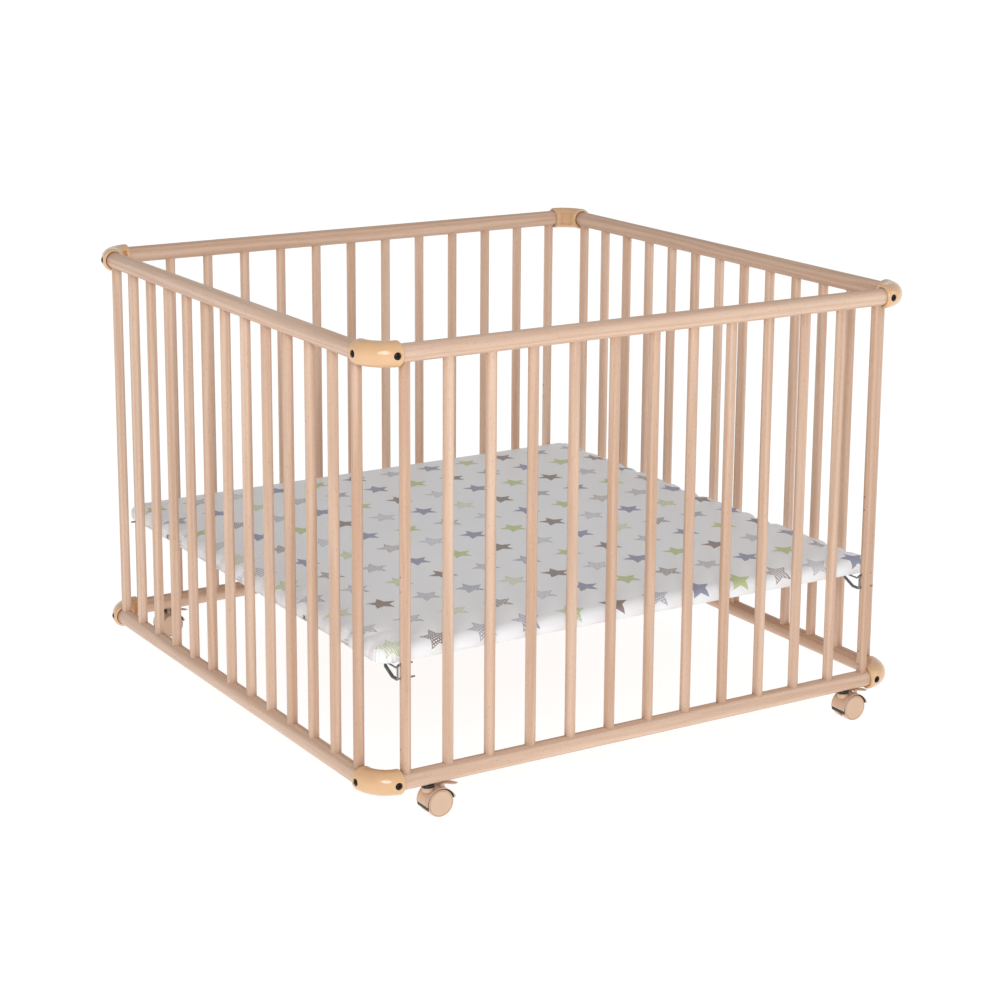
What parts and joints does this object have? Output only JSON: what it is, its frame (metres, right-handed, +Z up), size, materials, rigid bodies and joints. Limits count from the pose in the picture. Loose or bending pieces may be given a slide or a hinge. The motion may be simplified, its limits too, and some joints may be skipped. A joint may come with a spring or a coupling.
{
  "type": "playpen",
  "caption": "Square wooden playpen with round bars, plastic corner elbows, a raised padded base on wire brackets and braked twin-wheel castors.",
  "frame": {"origin": "on the floor, below the middle of the playpen", "axes": "+X along the front side towards the castor levers' tips, +Y from the front side to the back, +Z up"},
  "size_m": [1.039, 1.039, 0.75],
  "materials": {
    "beech": "fine sanded, clear matt",
    "elbow_plastic": "glossy moulded, pale orange yellow",
    "castor_plastic": "satin moulded, beige",
    "black_plastic": "matt black",
    "dark_steel": "blackened",
    "wire_steel": "galvanised wire",
    "pad_film": "wipeable coated film over foam, star print",
    "fibreboard": "raw hardboard"
  },
  "bodies": {
    "frame": {"lattice_front": "beech", "top_rail_front": "beech", "lattice_right": "beech", "top_rail_right": "beech", "lattice_back": "beech", "top_rail_back": "beech", "lattice_left": "beech", "top_rail_left": "beech", "elbow_low_front_left": "elbow_plastic", "screw_low_front_left_a": "dark_steel", "screw_low_front_left_b": "dark_steel", "elbow_top_front_left": "elbow_plastic", "screw_top_front_left_a": "dark_steel", "screw_top_front_left_b": "dark_steel", "elbow_low_front_right": "elbow_plastic", "screw_low_front_right_a": "dark_steel", "screw_low_front_right_b": "dark_steel", "elbow_top_front_right": "elbow_plastic", "screw_top_front_right_a": "dark_steel", "screw_top_front_right_b": "dark_steel", "elbow_low_back_right": "elbow_plastic", "screw_low_back_right_a": "dark_steel", "screw_low_back_right_b": "dark_steel", "elbow_top_back_right": "elbow_plastic", "screw_top_back_right_a": "dark_steel", "screw_top_back_right_b": "dark_steel", "elbow_low_back_left": "elbow_plastic", "screw_low_back_left_a": "dark_steel", "screw_low_back_left_b": "dark_steel", "elbow_top_back_left": "elbow_plastic", "screw_top_back_left_a": "dark_steel", "screw_top_back_left_b": "dark_steel", "collar_front_left": "black_plastic", "collar_front_right": "black_plastic", "collar_back_right": "black_plastic", "collar_back_left": "black_plastic"},
    "base": {"base_board": "fibreboard", "floor_pad": "pad_film"},
    "bracket_front_left": {"bracket_front_left": "wire_steel"},
    "bracket_front_right": {"bracket_front_right": "wire_steel"},
    "bracket_back_left": {"bracket_back_left": "wire_steel"},
    "bracket_back_right": {"bracket_back_right": "wire_steel"},
    "castor_front_left": {"castor_front_left": "castor_plastic"},
    "wheel_front_left_a": {"wheel_front_left_a": "castor_plastic"},
    "wheel_front_left_b": {"wheel_front_left_b": "castor_plastic"},
    "lever_front_left": {"lever_front_left": "castor_plastic"},
    "castor_front_right": {"castor_front_right": "castor_plastic"},
    "wheel_front_right_a": {"wheel_front_right_a": "castor_plastic"},
    "wheel_front_right_b": {"wheel_front_right_b": "castor_plastic"},
    "lever_front_right": {"lever_front_right": "castor_plastic"},
    "castor_back_right": {"castor_back_right": "castor_plastic"},
    "wheel_back_right_a": {"wheel_back_right_a": "castor_plastic"},
    "wheel_back_right_b": {"wheel_back_right_b": "castor_plastic"},
    "lever_back_right": {"lever_back_right": "castor_plastic"},
    "castor_back_left": {"castor_back_left": "castor_plastic"},
    "wheel_back_left_a": {"wheel_back_left_a": "castor_plastic"},
    "wheel_back_left_b": {"wheel_back_left_b": "castor_plastic"},
    "lever_back_left": {"lever_back_left": "castor_plastic"}
  },
  "joints": [
    {"name": "base_lift", "type": "slide", "parent": "frame", "child": "base", "axis": [0, 0, 1], "range_m": [0, 0.42]},
    {"name": "bracket_front_left_pull", "type": "slide", "parent": "frame", "child": "bracket_front_left", "axis": [-1, 0, 0], "range_m": [0, 0.0255]},
    {"name": "bracket_front_right_pull", "type": "slide", "parent": "frame", "child": "bracket_front_right", "axis": [-1, 0, 0], "range_m": [0, 0.0255]},
    {"name": "bracket_back_left_pull", "type": "slide", "parent": "frame", "child": "bracket_back_left", "axis": [1, 0, 0], "range_m": [0, 0.0255]},
    {"name": "bracket_back_right_pull", "type": "slide", "parent": "frame", "child": "bracket_back_right", "axis": [1, 0, 0], "range_m": [0, 0.0255]},
    {"name": "castor_front_left_swivel", "type": "hinge", "parent": "frame", "child": "castor_front_left", "pos_m": [-0.409, -0.5, 0.03], "axis": [0, 0, 1], "continuous": true},
    {"name": "wheel_front_left_a_spin", "type": "hinge", "parent": "castor_front_left", "child": "wheel_front_left_a", "pos_m": [-0.3945, -0.5, 0.02222], "axis": [0, 1, 0], "continuous": true},
    {"name": "wheel_front_left_b_spin", "type": "hinge", "parent": "castor_front_left", "child": "wheel_front_left_b", "pos_m": [-0.3945, -0.5, 0.02222], "axis": [0, 1, 0], "continuous": true},
    {"name": "lever_front_left_press", "type": "hinge", "parent": "castor_front_left", "child": "lever_front_left", "pos_m": [-0.386, -0.5, 0.0487], "axis": [0, 1, 0], "range_deg": [0, 12]},
    {"name": "castor_front_right_swivel", "type": "hinge", "parent": "frame", "child": "castor_front_right", "pos_m": [0.409, -0.5, 0.03], "axis": [0, 0, 1], "continuous": true},
    {"name": "wheel_front_right_a_spin", "type": "hinge", "parent": "castor_front_right", "child": "wheel_front_right_a", "pos_m": [0.4235, -0.5, 0.02222], "axis": [0, 1, 0], "continuous": true},
    {"name": "wheel_front_right_b_spin", "type": "hinge", "parent": "castor_front_right", "child": "wheel_front_right_b", "pos_m": [0.4235, -0.5, 0.02222], "axis": [0, 1, 0], "continuous": true},
    {"name": "lever_front_right_press", "type": "hinge", "parent": "castor_front_right", "child": "lever_front_right", "pos_m": [0.432, -0.5, 0.0487], "axis": [0, 1, 0], "range_deg": [0, 12]},
    {"name": "castor_back_right_swivel", "type": "hinge", "parent": "frame", "child": "castor_back_right", "pos_m": [0.409, 0.5, 0.03], "axis": [0, 0, 1], "continuous": true},
    {"name": "wheel_back_right_a_spin", "type": "hinge", "parent": "castor_back_right", "child": "wheel_back_right_a", "pos_m": [0.4235, 0.5, 0.02222], "axis": [0, 1, 0], "continuous": true},
    {"name": "wheel_back_right_b_spin", "type": "hinge", "parent": "castor_back_right", "child": "wheel_back_right_b", "pos_m": [0.4235, 0.5, 0.02222], "axis": [0, 1, 0], "continuous": true},
    {"name": "lever_back_right_press", "type": "hinge", "parent": "castor_back_right", "child": "lever_back_right", "pos_m": [0.432, 0.5, 0.0487], "axis": [0, 1, 0], "range_deg": [0, 12]},
    {"name": "castor_back_left_swivel", "type": "hinge", "parent": "frame", "child": "castor_back_left", "pos_m": [-0.409, 0.5, 0.03], "axis": [0, 0, 1], "continuous": true},
    {"name": "wheel_back_left_a_spin", "type": "hinge", "parent": "castor_back_left", "child": "wheel_back_left_a", "pos_m": [-0.3945, 0.5, 0.02222], "axis": [0, 1, 0], "continuous": true},
    {"name": "wheel_back_left_b_spin", "type": "hinge", "parent": "castor_back_left", "child": "wheel_back_left_b", "pos_m": [-0.3945, 0.5, 0.02222], "axis": [0, 1, 0], "continuous": true},
    {"name": "lever_back_left_press", "type": "hinge", "parent": "castor_back_left", "child": "lever_back_left", "pos_m": [-0.386, 0.5, 0.0487], "axis": [0, 1, 0], "range_deg": [0, 12]}
  ]
}
